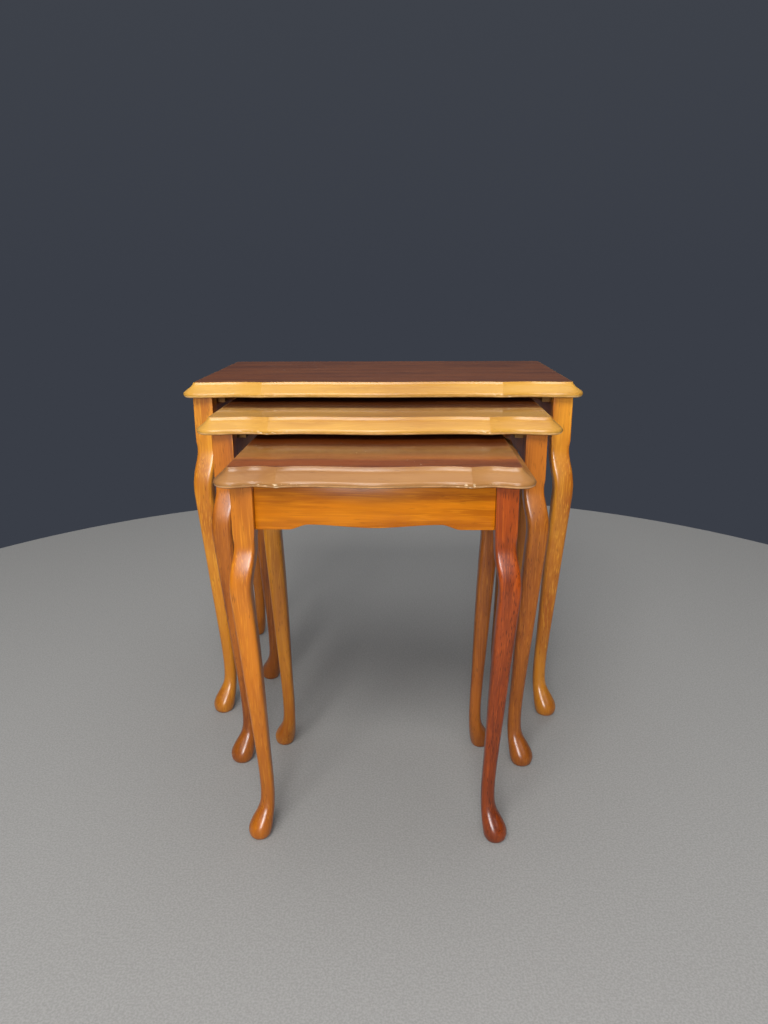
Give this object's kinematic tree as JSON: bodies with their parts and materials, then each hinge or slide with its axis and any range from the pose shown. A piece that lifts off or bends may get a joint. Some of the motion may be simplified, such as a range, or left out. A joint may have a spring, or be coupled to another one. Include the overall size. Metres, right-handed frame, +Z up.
{
  "type": "nesting tables",
  "caption": "Nest of graduated wooden side tables with moulded serpentine-front tops on slender cabriole legs, sliding one under another; the smallest has a shaped apron.",
  "frame": {"origin": "on the floor, at the middle of the footprint of the nest as it stands pulled out", "axes": "+Z up, -Y towards the front where the small table comes out, +X to the right seen from the front"},
  "size_m": [0.59, 0.6556, 0.55],
  "materials": {
    "top_wood": "gloss lacquer",
    "leg_wood": "satin lacquer",
    "apron_wood": "satin lacquer",
    "rail_wood": "satin lacquer",
    "block_wood": "unfinished",
    "dowel_wood": "unfinished",
    "screw_steel": "bright zinc"
  },
  "bodies": {
    "large_table": {"large_back_rail": "rail_wood", "large_dowels": "dowel_wood", "large_leg_front_left": "leg_wood", "large_leg_front_right": "leg_wood", "large_leg_rear_left": "leg_wood", "large_leg_rear_right": "leg_wood", "large_screw_blocks": "block_wood", "large_side_rail_left": "rail_wood", "large_side_rail_right": "rail_wood", "large_top": "top_wood", "large_top_screws": "screw_steel"},
    "middle_table": {"middle_back_rail": "rail_wood", "middle_dowels": "dowel_wood", "middle_leg_front_left": "leg_wood", "middle_leg_front_right": "leg_wood", "middle_leg_rear_left": "leg_wood", "middle_leg_rear_right": "leg_wood", "middle_screw_blocks": "block_wood", "middle_side_rail_left": "rail_wood", "middle_side_rail_right": "rail_wood", "middle_top": "top_wood", "middle_top_screws": "screw_steel"},
    "small_table": {"small_back_rail": "rail_wood", "small_dowels": "dowel_wood", "small_front_apron": "apron_wood", "small_leg_front_left": "leg_wood", "small_leg_front_right": "leg_wood", "small_leg_rear_left": "leg_wood", "small_leg_rear_right": "leg_wood", "small_screw_blocks": "block_wood", "small_side_rail_left": "rail_wood", "small_side_rail_right": "rail_wood", "small_top": "top_wood", "small_top_screws": "screw_steel"}
  },
  "joints": [
    {"name": "middle_table_slide", "type": "slide", "parent": "large_table", "child": "middle_table", "axis": [0, -1, 0], "range_m": [-0.1406, 0.2]},
    {"name": "small_table_slide", "type": "slide", "parent": "middle_table", "child": "small_table", "axis": [0, -1, 0], "range_m": [-0.165, 0.14]}
  ]
}
